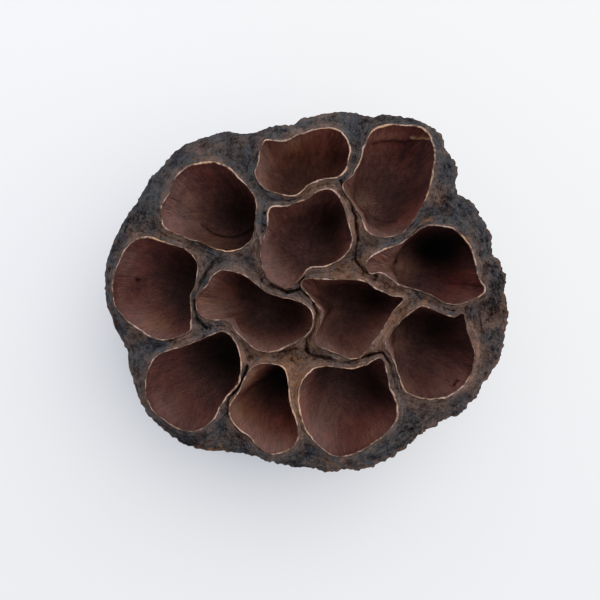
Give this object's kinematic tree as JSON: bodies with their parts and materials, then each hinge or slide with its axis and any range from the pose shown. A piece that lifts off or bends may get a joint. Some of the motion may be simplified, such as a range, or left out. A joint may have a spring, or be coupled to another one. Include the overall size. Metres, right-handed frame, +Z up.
{
  "type": "dried lotus pod",
  "caption": "Dried lotus pod with a flat wide face of open seed pockets and a back that tapers to a cut stem scar, for dried flower displays and seed head decoration.",
  "frame": {"origin": "on the surface that the pod rests on, under the middle of its outline", "axes": "+Z up, out of the open face with the pockets; +X along the long way across the face"},
  "size_m": [0.0728, 0.0646, 0.0386],
  "materials": {
    "dry_pod_wood": "matte"
  },
  "bodies": {
    "root": {"lotus_pod": "dry_pod_wood"}
  },
  "joints": []
}
